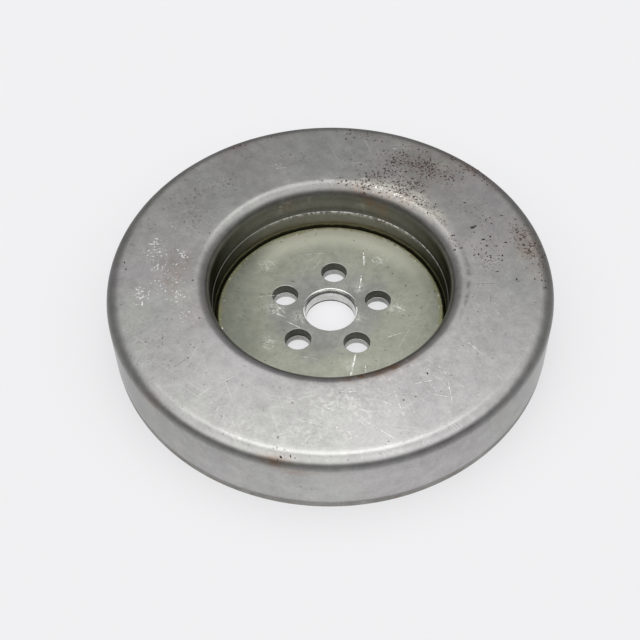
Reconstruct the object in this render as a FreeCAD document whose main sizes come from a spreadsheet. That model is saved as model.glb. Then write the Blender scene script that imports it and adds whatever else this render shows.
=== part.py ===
import FreeCAD, Part
import os

import Sketcher

# Camshaft vibration damper, silicone-fluid type, in millimetres.
# The origin is on the axis, on the face that bolts to the camshaft gear, and +Z points out of the well.
# A drawn steel casing is welded to a flat base plate, and a hub disc in its well stiffens the bolting.
# Inside, a heavy ring floats in the fluid on plastic pads, which keep it off the walls of its chamber.

DIMENSIONS = (
    ("outer_radius", 100.0, "outside radius of the casing"),
    ("total_height", 32.8, "mounting face to the top of the casing"),
    ("casing_wall", 3.0, "thickness of the sheet the casing is drawn from"),
    ("base_thickness", 3.0, "thickness of the base plate"),
    ("base_step", 0.2, "how far the base plate's edge stands back from the casing's wall"),
    ("seam_chamfer", 0.5, "chamfer on the base plate's edge, which opens the seam round the foot"),
    ("outer_bend", 6.4, "outside radius of the bend from the top into the outer wall"),
    ("lip_bend", 6.0, "outside radius of the bend from the top into the well"),
    ("channel_width", 45.7, "width of the casing's channel, from its outer wall to the well"),
    ("taper_width", 0.4, "how much the well narrows in the taper above the ledge"),
    ("taper_height", 3.5, "height of that taper"),
    ("ledge_width", 0.4, "width of the ledge"),
    ("ledge_height", 16.9, "mounting face to the ledge"),
    ("disc_thickness", 4.8, "thickness of the hub disc"),
    ("crevice_width", 1.7, "width of the open groove between hub disc and well"),
    ("crevice_depth", 2.5, "depth of that groove"),
    ("pilot_radius", 11.5, "radius of the central pilot bore"),
    ("pilot_chamfer", 0.4, "chamfer on the mouth of the pilot bore"),
    ("bolt_hole_radius", 5.5, "radius of a bolt hole in the base plate, clearance for a 10 mm bolt"),
    ("disc_hole_step", 0.4, "how much wider the same hole is in the hub disc"),
    ("bolt_circle_radius", 22.75, "radius of the circle through the bolt holes"),
    ("bolt_count", 5, "number of bolt holes"),
    ("bolt_turn", 85.25, "angle of the first bolt hole from +X, in degrees"),
    ("shear_gap", 0.6, "fluid film between the inertia ring and its chamber"),
    ("running_gap", 0.3, "clearance of the pads to the chamber"),
    ("seat_gap", 0.1, "clearance of a pad in its slot in the ring"),
    ("pad_width", 16.0, "width of a pad across the ring"),
    ("radial_pad_thickness", 4.0, "thickness of a radial pad"),
    ("thrust_pad_thickness", 3.0, "thickness of a thrust pad"),
    ("thrust_pad_length", 20.0, "length of a thrust pad along the radius"),
    ("pad_count", 6, "number of stations round the ring, each with three pads"),
    ("plug_radius", 4.0, "radius of a fill plug"),
    ("plug_inset", 0.4, "how far a fill plug's end stands back from the mounting face"),
    ("plug_setback", 23.0, "distance of the fill plugs' centres from the casing's outer wall"),
    ("plug_count", 2, "number of fill plugs in the base plate"),
)

# How closely an edge has to lie at a stated place, in mm, and the least that a pocket takes away, in mm3.
MATCH = 0.001
SMALLEST_CUT = 1.0

# Sizes worked out from the driving dimensions, as expressions over the sheet.
WELL_RADIUS = "(Sizes.outer_radius - Sizes.channel_width)"
TAPER_FOOT = "(%s - Sizes.taper_width)" % WELL_RADIUS
LOW_WELL = "(%s - Sizes.ledge_width)" % TAPER_FOOT
CHAMBER_INNER = "(%s + Sizes.casing_wall)" % LOW_WELL
CHAMBER_OUTER = "(Sizes.outer_radius - Sizes.casing_wall)"
CASING_HEIGHT = "(Sizes.total_height - Sizes.base_thickness)"
CHAMBER_HEIGHT = "(%s - Sizes.casing_wall)" % CASING_HEIGHT
LEDGE = "(Sizes.ledge_height - Sizes.base_thickness)"
TANGENT_CUT = "((2 - sqrt(2)) * (Sizes.%s - Sizes.casing_wall))"
OUTER_CUT = TANGENT_CUT % "outer_bend"
LIP_CUT = TANGENT_CUT % "lip_bend"
RING_BORE = "(%s + Sizes.shear_gap)" % CHAMBER_INNER
RING_OUTER = "(%s - Sizes.shear_gap)" % CHAMBER_OUTER
RING_HEIGHT = "(%s - 2 * Sizes.shear_gap)" % CHAMBER_HEIGHT
RING_FLOOR = "(Sizes.base_thickness + Sizes.shear_gap)"
RUNNING_RADIUS = "(%s + Sizes.running_gap)" % CHAMBER_INNER
RADIAL_BACK = "(%s + Sizes.radial_pad_thickness)" % RUNNING_RADIUS
THRUST_START = "(%s + %s + Sizes.seat_gap)" % (RING_BORE, LIP_CUT)
THRUST_END = "(%s + Sizes.thrust_pad_length)" % THRUST_START
PAD_PROUD = "(Sizes.shear_gap - Sizes.running_gap)"
THRUST_DEPTH = "(Sizes.thrust_pad_thickness - %s)" % PAD_PROUD
HALF_PAD = "(Sizes.pad_width / 2)"
HALF_SLOT = "(Sizes.pad_width / 2 + Sizes.seat_gap)"
BASE_OUTER = "(Sizes.outer_radius - Sizes.base_step)"
PLUG_CIRCLE = "(Sizes.outer_radius - Sizes.plug_setback)"
DISC_HOLE = "(Sizes.bolt_hole_radius + Sizes.disc_hole_step)"

document = FreeCAD.newDocument("vibration_damper")


def make_sheet():
    """The sheet of driving dimensions: name, value and meaning in each row."""
    sheet = document.addObject("Spreadsheet::Sheet", "Sizes")
    for row, (alias, value, meaning) in enumerate(DIMENSIONS, 1):
        sheet.set("A%d" % row, alias)
        sheet.set("B%d" % row, str(value))
        sheet.set("C%d" % row, meaning)
        sheet.setAlias("B%d" % row, alias)
    document.recompute()
    return sheet


sizes = make_sheet()
subparts = []


def size(expression):
    """The present value of a size or of an expression over the sheet."""
    return float(sizes.evalExpression(expression))


def new_body(label):
    """An empty sub-part whose label names its file."""
    body = document.addObject("PartDesign::Body", label)
    body.Label = label
    subparts.append(body)
    return body


def new_sketch(body, name, role, height="0"):
    """A sketch on one of the body's own planes, raised by height along that plane's normal."""
    sketch = body.newObject("Sketcher::SketchObject", name)
    plane = [item for item in body.Origin.OriginFeatures if item.Role == role][0]
    sketch.AttachmentSupport = (plane, [""])
    sketch.MapMode = "FlatFace"
    if height != "0":
        sketch.setExpression("AttachmentOffset.Base.z", height)
    return sketch


def pin_point(sketch, geometry, point, across, up, name):
    """Ties one point of the sketch to the origin by two named, driven distances."""
    for kind, axis, expression in (("DistanceX", -2, across), ("DistanceY", -1, up)):
        if expression == "0":
            sketch.addConstraint(Sketcher.Constraint("PointOnObject", geometry, point, axis))
            continue
        rule = Sketcher.Constraint(kind, -1, 1, geometry, point, size(expression))
        index = sketch.addConstraint(rule)
        label = name + kind[-1]
        sketch.renameConstraint(index, label)
        sketch.setExpression("Constraints." + label, expression)


def polygon(sketch, corners):
    """A closed outline through the corners, each given as a pair of expressions."""
    points = [FreeCAD.Vector(size(across), size(up), 0) for across, up in corners]
    lines = [
        sketch.addGeometry(Part.LineSegment(start, end))
        for start, end in zip(points, points[1:] + points[:1])
    ]
    for line, following in zip(lines, lines[1:] + lines[:1]):
        sketch.addConstraint(Sketcher.Constraint("Coincident", line, 2, following, 1))
    for line, (across, up) in zip(lines, corners):
        pin_point(sketch, line, 1, across, up, "corner%d" % line)


def circle(sketch, across, up, radius):
    """A circle whose centre and radius follow the sheet."""
    centre = FreeCAD.Vector(size(across), size(up), 0)
    ring = sketch.addGeometry(Part.Circle(centre, FreeCAD.Vector(0, 0, 1), size(radius)))
    index = sketch.addConstraint(Sketcher.Constraint("Radius", ring, size(radius)))
    label = "radius%d" % ring
    sketch.renameConstraint(index, label)
    sketch.setExpression("Constraints." + label, radius)
    pin_point(sketch, ring, 3, across, up, "centre%d" % ring)


def revolve(body, name, corners):
    """Turns an outline in the radius-height plane about the body's Z axis."""
    sketch = new_sketch(body, name + "_profile", "XZ_Plane")
    polygon(sketch, corners)
    feature = body.newObject("PartDesign::Revolution", name)
    feature.Profile = sketch
    feature.ReferenceAxis = (sketch, ["V_Axis"])
    feature.Angle = 360
    document.recompute()
    return feature


def circle_edges(shape, places):
    """Names of the round edges that lie at the given pairs of radius and height."""
    names = []
    for number, edge in enumerate(shape.Edges, 1):
        if not isinstance(edge.Curve, Part.Circle):
            continue
        for radius, height in places:
            same_radius = abs(edge.Curve.Radius - size(radius)) < MATCH
            if same_radius and abs(edge.Curve.Center.z - size(height)) < MATCH:
                names.append("Edge%d" % number)
    return names


def dress(body, kind, name, amount, places):
    """A fillet or a chamfer on the round edges at the given pairs of radius and height."""
    base = body.Tip
    feature = body.newObject("PartDesign::" + kind, name)
    feature.Base = (base, circle_edges(base.Shape, places))
    feature.setExpression("Radius" if kind == "Fillet" else "Size", amount)
    document.recompute()
    return feature


def block(body, name, kind, corners, height="0", depth=None, upwards=True):
    """A straight-sided pad or pocket from an outline seen from above; depth None goes right through."""
    sketch = new_sketch(body, name + "_outline", "XY_Plane", height)
    polygon(sketch, corners)
    return extrude(body, name, kind, sketch, depth, upwards)


def bore(body, name, spot, radius):
    """A round hole right through the body, with its centre at spot."""
    sketch = new_sketch(body, name + "_outline", "XY_Plane")
    circle(sketch, spot[0], spot[1], radius)
    return extrude(body, name, "Pocket", sketch, None, True)


def extrude(body, name, kind, sketch, depth, upwards):
    """Pads or pockets a sketch along +Z or -Z and makes sure that a pocket takes something away."""
    before = body.Shape.Volume if kind == "Pocket" else 0
    feature = body.newObject("PartDesign::" + kind, name)
    feature.Profile = sketch
    feature.Reversed = upwards if kind == "Pocket" else not upwards
    if depth is None:
        feature.Type = "ThroughAll"
    else:
        feature.setExpression("Length", depth)
    document.recompute()
    if kind == "Pocket" and feature.Shape.Volume > before - SMALLEST_CUT:
        raise ValueError(name + " cuts nothing")
    return feature


def around(body, name, feature, count):
    """Repeats a feature evenly round the body's Z axis."""
    pattern = body.newObject("PartDesign::PolarPattern", name)
    pattern.Originals = [feature]
    pattern.Axis = (feature.Profile[0], ["N_Axis"])
    pattern.Angle = 360
    pattern.setExpression("Occurrences", count)
    body.Tip = pattern
    document.recompute()
    return pattern


def polar(radius, angle):
    """Expressions for the point at a radius and an angle in degrees."""
    across = "%s * cos(%s * 1 deg)" % (radius, angle)
    up = "%s * sin(%s * 1 deg)" % (radius, angle)
    return across, up


def rectangle(inner, outer, half_width):
    """Corners of a rectangle that lies along +X, from one radius to another."""
    return (
        (inner, "-" + half_width),
        (outer, "-" + half_width),
        (outer, half_width),
        (inner, half_width),
    )


def make_casing():
    """Casing: a ring-shaped channel drawn from sheet, with an outer wall, a flat top and the well's wall.

    The upper part of the well is turned a little wider and ends in a short taper and a fine ledge.
    Inside each bend the corner is cut at 45 degrees along the tangent of the true inner bend, so that
    the sheet keeps its thickness there.
    """
    body = new_body("casing")
    body.setExpression("Placement.Base.z", "Sizes.base_thickness")
    taper_top = "(%s + Sizes.taper_height)" % LEDGE
    revolve(body, "drawn_channel", (
        (LOW_WELL, "0"),
        (CHAMBER_INNER, "0"),
        (CHAMBER_INNER, "(%s - %s)" % (CHAMBER_HEIGHT, LIP_CUT)),
        ("(%s + %s)" % (CHAMBER_INNER, LIP_CUT), CHAMBER_HEIGHT),
        ("(%s - %s)" % (CHAMBER_OUTER, OUTER_CUT), CHAMBER_HEIGHT),
        (CHAMBER_OUTER, "(%s - %s)" % (CHAMBER_HEIGHT, OUTER_CUT)),
        (CHAMBER_OUTER, "0"),
        ("Sizes.outer_radius", "0"),
        ("Sizes.outer_radius", CASING_HEIGHT),
        (WELL_RADIUS, CASING_HEIGHT),
        (WELL_RADIUS, taper_top),
        (TAPER_FOOT, LEDGE),
        (LOW_WELL, LEDGE),
    ))
    dress(body, "Fillet", "outer_bend", "Sizes.outer_bend", [("Sizes.outer_radius", CASING_HEIGHT)])
    dress(body, "Fillet", "lip_bend", "Sizes.lip_bend", [(WELL_RADIUS, CASING_HEIGHT)])


def make_base_plate():
    """Base plate: a flat disc welded under the casing, whose edge shows as a band below the seam."""
    body = new_body("base_plate")
    body.setExpression("Placement.Base.z", "0")
    revolve(body, "flat_disc", (
        ("0", "0"),
        (BASE_OUTER, "0"),
        (BASE_OUTER, "(Sizes.base_thickness - Sizes.seam_chamfer)"),
        ("(%s - Sizes.seam_chamfer)" % BASE_OUTER, "Sizes.base_thickness"),
        ("0", "Sizes.base_thickness"),
    ))
    bore(body, "base_pilot_bore", ("0", "0"), "Sizes.pilot_radius")
    spot = polar("Sizes.bolt_circle_radius", "Sizes.bolt_turn")
    hole = bore(body, "base_bolt_hole", spot, "Sizes.bolt_hole_radius")
    around(body, "base_bolt_holes", hole, "Sizes.bolt_count")
    hole = bore(body, "fill_hole", (PLUG_CIRCLE, "0"), "Sizes.plug_radius")
    around(body, "fill_holes", hole, "Sizes.plug_count")


def make_hub_disc():
    """Hub disc: the thick disc pressed into the foot of the well, on top of the base plate.

    Its upper rim slopes away from the well's wall, which leaves the dark open groove round it.
    Its bolt holes are a little wider than those in the base plate, so a narrow step shows in each.
    """
    body = new_body("hub_disc")
    body.setExpression("Placement.Base.z", "Sizes.base_thickness")
    revolve(body, "thick_disc", (
        ("0", "0"),
        (LOW_WELL, "0"),
        (LOW_WELL, "(Sizes.disc_thickness - Sizes.crevice_depth)"),
        ("(%s - Sizes.crevice_width)" % LOW_WELL, "Sizes.disc_thickness"),
        ("0", "Sizes.disc_thickness"),
    ))
    bore(body, "disc_pilot_bore", ("0", "0"), "Sizes.pilot_radius")
    hole = bore(body, "disc_bolt_hole", polar("Sizes.bolt_circle_radius", "Sizes.bolt_turn"), DISC_HOLE)
    around(body, "disc_bolt_holes", hole, "Sizes.bolt_count")
    dress(body, "Chamfer", "pilot_mouth", "Sizes.pilot_chamfer",
          [("Sizes.pilot_radius", "Sizes.disc_thickness")])


def make_inertia_ring():
    """Inertia ring: the heavy turned ring that stays behind when the shaft's speed wavers.

    At each station a slot runs down its bore for a radial pad, and a slot in either face seats a
    thrust pad. Its upper corners are cut back so that they clear the casing's bends.
    """
    body = new_body("inertia_ring")
    body.setExpression("Placement.Base.z", RING_FLOOR)
    revolve(body, "turned_ring", (
        (RING_BORE, "0"),
        (RING_OUTER, "0"),
        (RING_OUTER, "(%s - %s)" % (RING_HEIGHT, OUTER_CUT)),
        ("(%s - %s)" % (RING_OUTER, OUTER_CUT), RING_HEIGHT),
        ("(%s + %s)" % (RING_BORE, LIP_CUT), RING_HEIGHT),
        (RING_BORE, "(%s - %s)" % (RING_HEIGHT, LIP_CUT)),
    ))
    radial = rectangle(LOW_WELL, "(%s + Sizes.seat_gap)" % RADIAL_BACK, HALF_SLOT)
    thrust = rectangle(LOW_WELL, "(%s + Sizes.seat_gap)" % THRUST_END, HALF_SLOT)
    slot = block(body, "radial_slot", "Pocket", radial)
    around(body, "radial_slots", slot, "Sizes.pad_count")
    slot = block(body, "front_slot", "Pocket", thrust, RING_HEIGHT, THRUST_DEPTH, False)
    around(body, "front_slots", slot, "Sizes.pad_count")
    slot = block(body, "rear_slot", "Pocket", thrust, "0", THRUST_DEPTH)
    around(body, "rear_slots", slot, "Sizes.pad_count")


def new_pad(kind, number, floor):
    """An empty pad body at one station round the ring, with its foot at the given height."""
    body = new_body("%s_pad_%d" % (kind, number + 1))
    body.setExpression("Placement.Base.z", floor)
    body.setExpression("Placement.Rotation.Angle", "360 * %d / Sizes.pad_count" % number)
    return body


def make_radial_pad(number):
    """Radial pad: a plastic block whose hollow face runs on the well's wall and centres the ring."""
    floor = "%s + %s + Sizes.seat_gap" % (RING_FLOOR, THRUST_DEPTH)
    body = new_pad("radial", number, floor)
    tag = "_%d" % (number + 1)
    height = "(%s - 2 * %s - 2 * Sizes.seat_gap)" % (RING_HEIGHT, THRUST_DEPTH)
    outline = rectangle("(%s - Sizes.casing_wall)" % RUNNING_RADIUS, RADIAL_BACK, HALF_PAD)
    block(body, "radial_block" + tag, "Pad", outline, "0", height)
    bore(body, "running_face" + tag, ("0", "0"), RUNNING_RADIUS)


def make_thrust_pad(side, number):
    """Thrust pad: a flat plastic block that stands a little proud of the ring's face."""
    floors = {
        "front": "%s + %s - %s" % (RING_FLOOR, RING_HEIGHT, THRUST_DEPTH),
        "rear": "%s - %s" % (RING_FLOOR, PAD_PROUD),
    }
    body = new_pad(side + "_thrust", number, floors[side])
    outline = rectangle(THRUST_START, THRUST_END, HALF_PAD)
    name = "thrust_block_%s_%d" % (side, number + 1)
    block(body, name, "Pad", outline, "0", "Sizes.thrust_pad_thickness")


def make_fill_plug(number):
    """Fill plug: a steel plug pressed into the base plate once the fluid is in."""
    body = new_body("fill_plug_%d" % (number + 1))
    across, up = polar(PLUG_CIRCLE, "360 * %d / Sizes.plug_count" % number)
    body.setExpression("Placement.Base.x", across)
    body.setExpression("Placement.Base.y", up)
    body.setExpression("Placement.Base.z", "Sizes.plug_inset")
    revolve(body, "turned_plug_%d" % (number + 1), (
        ("0", "0"),
        ("Sizes.plug_radius", "0"),
        ("Sizes.plug_radius", "(Sizes.base_thickness - Sizes.plug_inset)"),
        ("0", "(Sizes.base_thickness - Sizes.plug_inset)"),
    ))


def check_document():
    """Stops on any failed feature and on any sub-part that isn't one sound solid."""
    for item in document.Objects:
        if "Invalid" in item.State or "Error" in item.State:
            raise ValueError("%s failed: %s" % (item.Label, item.State))
    for body in subparts:
        if body.Shape.isNull() or not body.Shape.isValid() or len(body.Shape.Solids) != 1:
            raise ValueError(body.Label + " isn't one sound solid")


def write_parts():
    """Writes each sub-part to its own file."""
    os.makedirs("parts", exist_ok=True)
    for body in subparts:
        body.Shape.exportStep("parts/%s.step" % body.Label)
        print("%-20s volume %10.1f mm3" % (body.Label, body.Shape.Volume))


make_casing()
make_base_plate()
make_hub_disc()
make_inertia_ring()
for station in range(int(size("Sizes.pad_count"))):
    make_radial_pad(station)
    make_thrust_pad("front", station)
    make_thrust_pad("rear", station)
for plug in range(int(size("Sizes.plug_count"))):
    make_fill_plug(plug)
document.recompute()
check_document()
write_parts()
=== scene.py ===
# %% [markdown]
# # A camshaft vibration damper
# A truck engine's camshaft twists a little each time a valve opens. This damper is bolted to its gear:
# a steel casing turns with the shaft, and a heavy ring inside, wet with thick silicone fluid, lags behind
# and calms the twisting. The solids come from the CAD model and are fixed. This file gives them their looks.
# %% Load the frame
import math
import random

import bpy
import numpy as np
from mathutils import Matrix, Vector


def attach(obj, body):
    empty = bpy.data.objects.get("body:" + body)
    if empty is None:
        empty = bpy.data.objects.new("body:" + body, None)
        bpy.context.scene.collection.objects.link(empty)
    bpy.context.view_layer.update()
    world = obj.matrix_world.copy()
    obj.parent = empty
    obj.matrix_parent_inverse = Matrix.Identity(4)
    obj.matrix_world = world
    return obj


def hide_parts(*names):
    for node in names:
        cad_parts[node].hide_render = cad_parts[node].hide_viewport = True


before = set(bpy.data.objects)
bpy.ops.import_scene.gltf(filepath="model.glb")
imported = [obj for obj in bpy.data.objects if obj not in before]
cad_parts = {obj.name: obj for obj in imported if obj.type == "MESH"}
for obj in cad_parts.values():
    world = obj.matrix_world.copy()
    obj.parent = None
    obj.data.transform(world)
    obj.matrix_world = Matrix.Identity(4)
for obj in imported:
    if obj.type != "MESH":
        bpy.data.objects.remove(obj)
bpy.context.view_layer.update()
MM = 0.001
scene = bpy.context.scene

# %% [markdown]
# ## The camera
# A camera was fitted to the outline, the well and the six holes of the photograph. The fit gives the focal
# length in pixels, how far the camera stands off, how steeply it looks down, and a small roll. Blender wants
# the focal length in millimetres of a 36 mm sensor, and the picture's centre as a shift.
# %% Camera
PICTURE = 640
FOCAL_PIXELS = 1206.9
STAND_OFF = 0.56388
LOOK_DOWN = math.radians(51.036)
ROLL = 0.0116
CENTRE_PIXEL = (330.0, 319.25)

camera_data = bpy.data.cameras.new("camera")
camera_data.lens = 36 * FOCAL_PIXELS / PICTURE
camera_data.shift_x = (PICTURE / 2 - 0.5 - CENTRE_PIXEL[0]) / PICTURE
camera_data.shift_y = (CENTRE_PIXEL[1] + 0.5 - PICTURE / 2) / PICTURE
camera = bpy.data.objects.new("camera", camera_data)
scene.collection.objects.link(camera)
tilt = Matrix.Rotation(math.pi / 2 - LOOK_DOWN, 4, "X") @ Matrix.Rotation(-ROLL, 4, "Z")
camera_spot = Vector((0, -math.cos(LOOK_DOWN), math.sin(LOOK_DOWN))) * STAND_OFF
camera.matrix_world = Matrix.Translation(camera_spot) @ tilt
scene.camera = camera
scene.view_settings.view_transform = "Standard"
print("lens %.1f mm, %.0f mm away" % (camera_data.lens, STAND_OFF / MM))

# %% [markdown]
# ## Node helpers
# Most of this file builds node trees, for shapes and for finishes. To keep that short, a Value stands for one
# output of a node and goes into a sum like a number: each sign adds a Math node to the tree it is in.
# %% Values that are used like numbers
def sign(operation, swapped=False):
    """A method that adds a Math node for a sign such as + or *."""
    def method(value, other):
        return calc(operation, *((other, value) if swapped else (value, other)))
    return method


class Value:
    """One output of a node."""
    def __init__(self, socket):
        self.socket = socket

    __add__, __radd__ = sign("ADD"), sign("ADD", True)
    __sub__, __rsub__ = sign("SUBTRACT"), sign("SUBTRACT", True)
    __mul__, __rmul__ = sign("MULTIPLY"), sign("MULTIPLY", True)
    __truediv__, __rtruediv__ = sign("DIVIDE"), sign("DIVIDE", True)
    __gt__, __lt__ = sign("GREATER_THAN"), sign("LESS_THAN")


def tree_of(values):
    """The tree that the first Value among these is in."""
    return next(value.socket.id_data for value in values if isinstance(value, Value))


def outputs_of(node):
    return {socket.name: Value(socket) for socket in node.outputs}


# %% Helpers that add nodes
def feed(socket, value):
    """Fills an input with a link or a plain value. A colour is given without its alpha."""
    if isinstance(value, Value):
        value.socket.id_data.links.new(value.socket, socket)
    else:
        socket.default_value = (*value, 1) if socket.type == "RGBA" else value


def put(tree, kind, inputs=(), **options):
    """Adds a node, sets its options, then fills its inputs."""
    node = tree.nodes.new(kind)
    for name, value in options.items():
        setattr(node, name, value)
    for key, value in dict(inputs).items():
        feed(node.inputs[key], value)
    return node


def get(tree, kind, inputs=(), output=0, **options):
    """Adds a node and gives one of its outputs."""
    return Value(put(tree, kind, inputs, **options).outputs[output])


def calc(operation, *values, clamp=False):
    """The result of a Math node."""
    return get(tree_of(values), "ShaderNodeMath", enumerate(values), operation=operation, use_clamp=clamp)


def most(*values):
    """The largest of several numbers."""
    total = values[0]
    for value in values[1:]:
        total = calc("MAXIMUM", total, value)
    return total


def fade(value, low, high, start=0.0, end=1.0):
    """A smooth step: start where value is at low, and end where it is at high."""
    inputs = {"Value": value, "From Min": low, "From Max": high, "To Min": start, "To Max": end}
    return get(tree_of((value,)), "ShaderNodeMapRange", inputs, interpolation_type="SMOOTHSTEP")


def mixed(share, first, second):
    """A mix of two numbers."""
    return get(tree_of((share,)), "ShaderNodeMix", {"Factor": share, "A": first, "B": second})


def blend(share, first, second, mode="MIX"):
    """A mix of two colours."""
    inputs = {0: share, 6: first, 7: second}
    return get(tree_of(inputs.values()), "ShaderNodeMix", inputs, 2, data_type="RGBA", blend_type=mode)


def noise(place, scale, detail=2.0, rough=0.5):
    """Smooth noise, about 0.5 on average."""
    inputs = {"Vector": place, "Scale": scale, "Detail": detail, "Roughness": rough}
    return get(tree_of((place,)), "ShaderNodeTexNoise", inputs)


# %% Helpers for vectors and groups
def arrow(operation, *values, output=0, **inputs):
    """The result of a Vector Math node."""
    inputs = {**dict(enumerate(values)), **inputs}
    return get(tree_of(values), "ShaderNodeVectorMath", inputs, output, operation=operation)


def vector(x=0.0, y=0.0, z=0.0):
    return get(tree_of((x, y, z)), "ShaderNodeCombineXYZ", enumerate((x, y, z)))


def parts(place):
    """The x, y and z of a vector."""
    return [Value(socket) for socket in put(tree_of((place,)), "ShaderNodeSeparateXYZ", {0: place}).outputs]


def reach_of(place):
    """How far a place is from the damper's axis."""
    return arrow("LENGTH", arrow("MULTIPLY", place, (1, 1, 0)), output=1)


def place_on(tree):
    """Where a point of the surface is, in the object's own coordinates."""
    return get(tree, "ShaderNodeTexCoord", output="Object")


def new_group(kind, name, inputs, outputs):
    """An empty node group with named inputs and outputs."""
    group = bpy.data.node_groups.new(name, kind)
    for label, socket_kind, default in inputs:
        socket = group.interface.new_socket(label, in_out="INPUT", socket_type="NodeSocket" + socket_kind)
        if default is not None:
            socket.default_value = default
    for label, socket_kind in outputs:
        group.interface.new_socket(label, in_out="OUTPUT", socket_type="NodeSocket" + socket_kind)
    return group, outputs_of(group.nodes.new("NodeGroupInput")), group.nodes.new("NodeGroupOutput").inputs


# %% [markdown]
# ## Floor and light
# The photograph was taken on a white table under a soft light from above. The table glows a little of its own
# for the camera, so that it stays pale while the damper still casts its shadow. For mirrored rays the paper
# ends a hand's width from the damper, as it did on the real table, and that is what darkens the foot of a bend.
# %% Floor
HALF_WIDTH, FLOOR_HEIGHT = 4.0, -0.0001
TABLE_WHITE, GLOW_SHARE = 0.84, 0.72

floor_mesh = bpy.data.meshes.new("floor")
corners = [(x * HALF_WIDTH, y * HALF_WIDTH, FLOOR_HEIGHT) for x, y in ((-1, -1), (1, -1), (1, 1), (-1, 1))]
floor_mesh.from_pydata(corners, [], [(0, 1, 2, 3)])
table = bpy.data.materials.new("white_table")
table.use_nodes = True
tree = table.node_tree
paint_coat = tree.nodes["Principled BSDF"]
feed(paint_coat.inputs["Base Color"], (TABLE_WHITE, TABLE_WHITE, TABLE_WHITE + 0.01))
feed(paint_coat.inputs["Roughness"], 0.9)
path = outputs_of(put(tree, "ShaderNodeLightPath"))
mirrored = most(path["Is Glossy Ray"], path["Is Transmission Ray"])
away = arrow("LENGTH", place_on(tree), output=1)
paper = fade(away, 0.108, 0.142, 1.3, 0.48) * fade(away, 0.14, 0.21, 1.0, 0.33)
glow = get(tree, "ShaderNodeEmission", {
    "Color": (0.985, 0.985, 1.0), "Strength": mixed(mirrored, TABLE_WHITE, paper)})
share = most(path["Is Camera Ray"], mirrored) * GLOW_SHARE
feed(tree.nodes["Material Output"].inputs[0],
     get(tree, "ShaderNodeMixShader", {0: share, 1: Value(paint_coat.outputs[0]), 2: glow}))
floor = bpy.data.objects.new("floor", floor_mesh)
floor_mesh.materials.append(table)
scene.collection.objects.link(floor)
print("floor", 2 * HALF_WIDTH, "m wide")

# %% [markdown]
# ## The studio round it
# Steel shows little colour of its own, so what stands round it does the work. The room is a bright ceiling that
# leans towards the camera, with a dark wall behind the damper and dark sides low down. That one gradient makes
# the top pale in front and grey behind, and gives each bend its dark band. A small softbox adds the crisp line.
# %% Light
LEAN, LEAN_FROM = 0.35, -0.3
SKY = ((0.0, 0.29), (0.2, 0.34), (0.42, 0.36), (0.5, 0.53), (0.58, 0.98), (0.66, 1.28), (0.9, 1.34), (1.0, 1.28))
BACKDROP = (0.86, 0.86, 0.87)

world = bpy.data.worlds.new("studio")
world.use_nodes = True
scene.world = world
sky = world.node_tree
x, y, z = parts(get(sky, "ShaderNodeTexCoord", output="Generated"))
ramp = put(sky, "ShaderNodeValToRGB", {0: z - most(y, LEAN_FROM) * LEAN})
ramp.color_ramp.interpolation = "EASE"
while len(ramp.color_ramp.elements) < len(SKY):
    ramp.color_ramp.elements.new(0.5)
for element, (height, level) in zip(ramp.color_ramp.elements, SKY):
    element.position = height
    element.color = (level, level, level, 1)
steep = fade(z, 0.06, 0.5, 0.52, 1.34)
facing = fade(y, -0.02, -0.45)
seen = get(sky, "ShaderNodeLightPath", output="Is Camera Ray")
background = sky.nodes["Background"].inputs
feed(background["Color"], blend(seen, Value(ramp.outputs[0]), BACKDROP))
feed(background["Strength"], mixed(seen, mixed(facing, 1.0, steep), 1.0))

lamp_data = bpy.data.lights.new("softbox", "AREA")
lamp_data.shape, lamp_data.size, lamp_data.energy = "SQUARE", 0.62, 2.0
lamp = bpy.data.objects.new("softbox", lamp_data)
lamp.location = (0.0, 0.26, 1.15)
lamp.rotation_euler = (math.radians(-12), 0, 0)
scene.collection.objects.link(lamp)
print("sky levels", [level for height, level in SKY], "softbox", lamp_data.energy, "W")

# %% [markdown]
# ## Turned and drawn pieces
# The casing and the fill plugs are round: their section is the same all the way round. On a lathe or in a press
# the section is what the maker sets, so here it is drawn once, as a line in the radius-height plane, and a
# Geometry Nodes tree wraps a grid round the axis along it. A little noise along the normals keeps the sheet
# from being perfect, as pressed steel never is.
# %% Helpers for shape trees
def moved(geometry, **inputs):
    return get(tree_of((geometry,)), "GeometryNodeSetPosition", {"Geometry": geometry, **inputs})


def welded(geometry, distance):
    return get(tree_of((geometry,)), "GeometryNodeMergeByDistance", {"Geometry": geometry, "Distance": distance})


def joined(*geometries):
    node = put(tree_of(geometries), "GeometryNodeJoinGeometry")
    for geometry in geometries:
        feed(node.inputs[0], geometry)
    return Value(node.outputs[0])


def finish_tree(output, geometry, material, sharp=0.42):
    """Smooth shading with sharp edges past an angle, real geometry, and the material."""
    tree = tree_of((geometry,))
    smooth = get(tree, "GeometryNodeSetShadeSmooth", {"Geometry": geometry, "Shade Smooth": True}, domain="FACE")
    bend = get(tree, "GeometryNodeInputMeshEdgeAngle") > sharp
    creased = get(tree, "GeometryNodeSetShadeSmooth", {
        "Geometry": smooth, "Selection": bend, "Shade Smooth": False}, domain="EDGE")
    real = get(tree, "GeometryNodeRealizeInstances", {0: creased})
    feed(output, get(tree, "GeometryNodeSetMaterial", {"Geometry": real, "Material": material}))


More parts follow.
